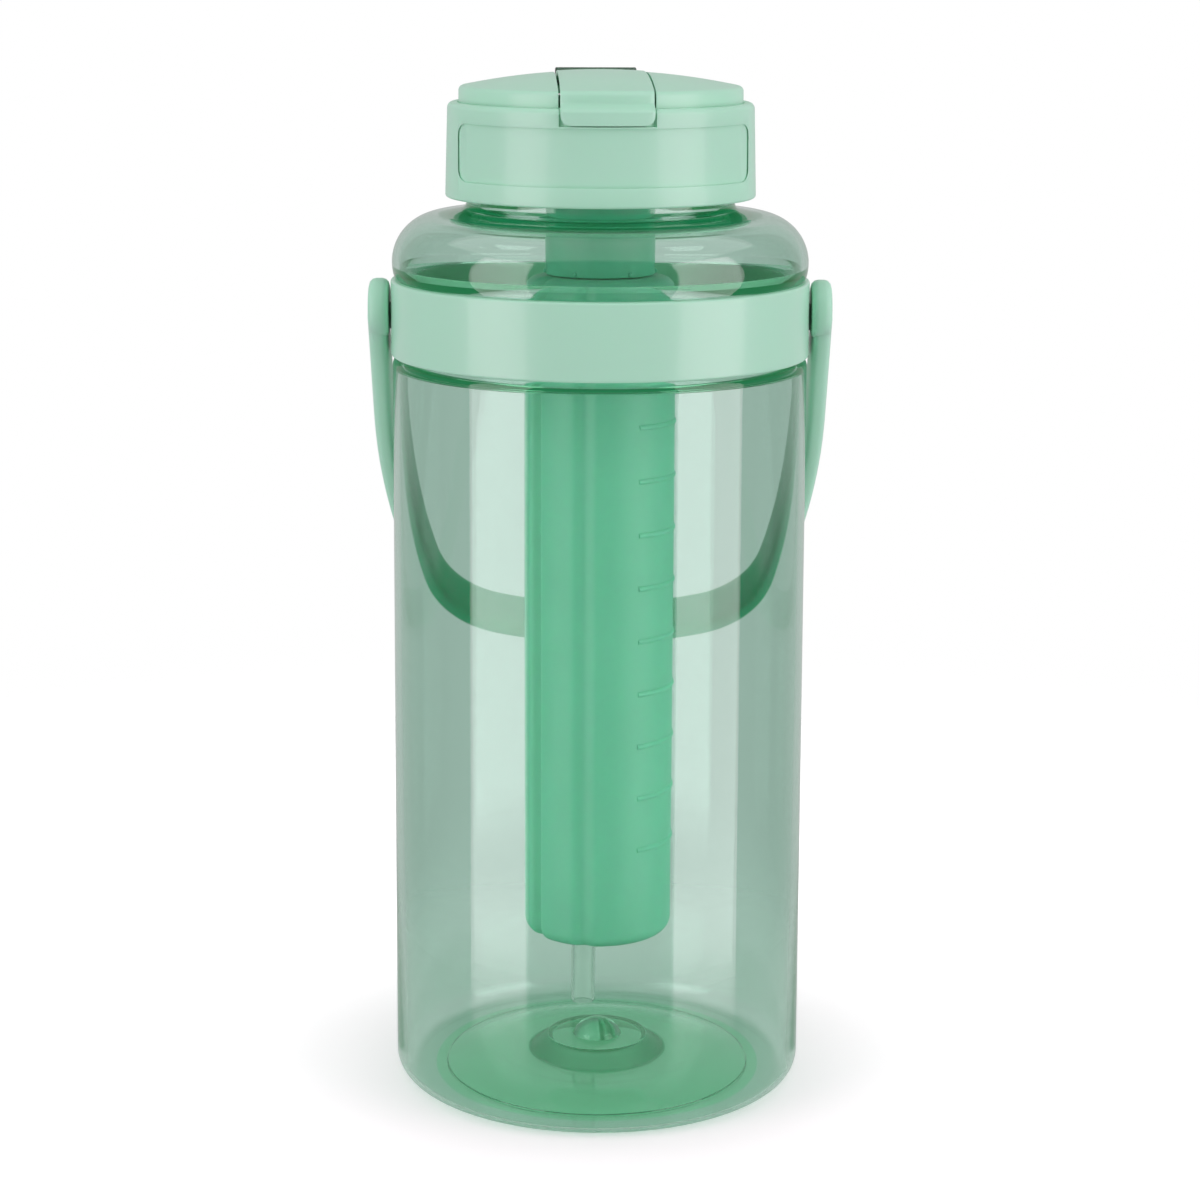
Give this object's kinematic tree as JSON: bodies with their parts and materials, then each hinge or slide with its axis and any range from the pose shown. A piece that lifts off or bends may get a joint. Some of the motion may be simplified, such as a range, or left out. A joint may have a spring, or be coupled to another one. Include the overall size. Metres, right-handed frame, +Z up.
{
  "type": "pitcher with ice core",
  "caption": "Tall clear pitcher with a mint band and swing handle, a screw lid with a flip strap, a straw, and a frosted cooling core hanging inside.",
  "frame": {"origin": "centre of the foot, on the plane that the pitcher stands on", "axes": "+Z up along the body's axis; the strap's tab faces -Y and the handle hangs towards +Y; +X to the right when the tab faces the viewer, along the handle's pivots"},
  "size_m": [0.124, 0.1255, 0.2765],
  "materials": {
    "clear_plastic": "clear, faintly green, polished",
    "mint_plastic": "satin mint",
    "dark_plastic": "dark green",
    "dark_clear_plastic": "dark green, see-through",
    "collar_plastic": "satin light green",
    "straw_plastic": "translucent",
    "frosted_plastic": "frosted green",
    "cooling_gel": "frozen filling",
    "soft_seal": "soft white",
    "pin_steel": "drawn wire"
  },
  "bodies": {
    "jug": {"jug_body": "clear_plastic", "band_front": "mint_plastic", "band_rear": "mint_plastic", "pivot_studs": "dark_plastic"},
    "handle": {"bail_handle": "mint_plastic"},
    "seal": {"lid_gasket": "soft_seal"},
    "lid": {"lid_skirt": "mint_plastic", "lid_deck": "mint_plastic", "spout": "mint_plastic", "vent_valve": "soft_seal", "hinge_pin": "pin_steel", "straw_adapter": "mint_plastic", "straw": "straw_plastic", "core_holder": "collar_plastic"},
    "strap": {"flip_strap": "mint_plastic", "spout_plug": "soft_seal", "hinge_barrel": "dark_clear_plastic"},
    "core": {"core_vessel": "frosted_plastic", "core_plug": "collar_plastic", "core_gel": "cooling_gel", "core_o_ring": "soft_seal"}
  },
  "joints": [
    {"name": "handle_swing", "type": "hinge", "parent": "jug", "child": "handle", "pos_m": [0, 0, 0.2113], "axis": [1, 0, 0], "range_deg": [0, 293.7]},
    {"name": "lid_lift", "type": "slide", "parent": "jug", "child": "seal", "axis": [0, 0, 1], "range_m": [0, 0.255]},
    {"name": "lid_turn", "type": "hinge", "parent": "seal", "child": "lid", "pos_m": [0, 0, 0.2632], "axis": [0, 0, 1], "range_deg": [0, 270]},
    {"name": "strap_flip", "type": "hinge", "parent": "lid", "child": "strap", "pos_m": [-0.0015, 0.03297, 0.2722], "axis": [-0.999, -0.0454, 0], "range_deg": [0, 140]},
    {"name": "core_release", "type": "slide", "parent": "lid", "child": "core", "axis": [0, 0, -1], "range_m": [0, 0.018]}
  ]
}
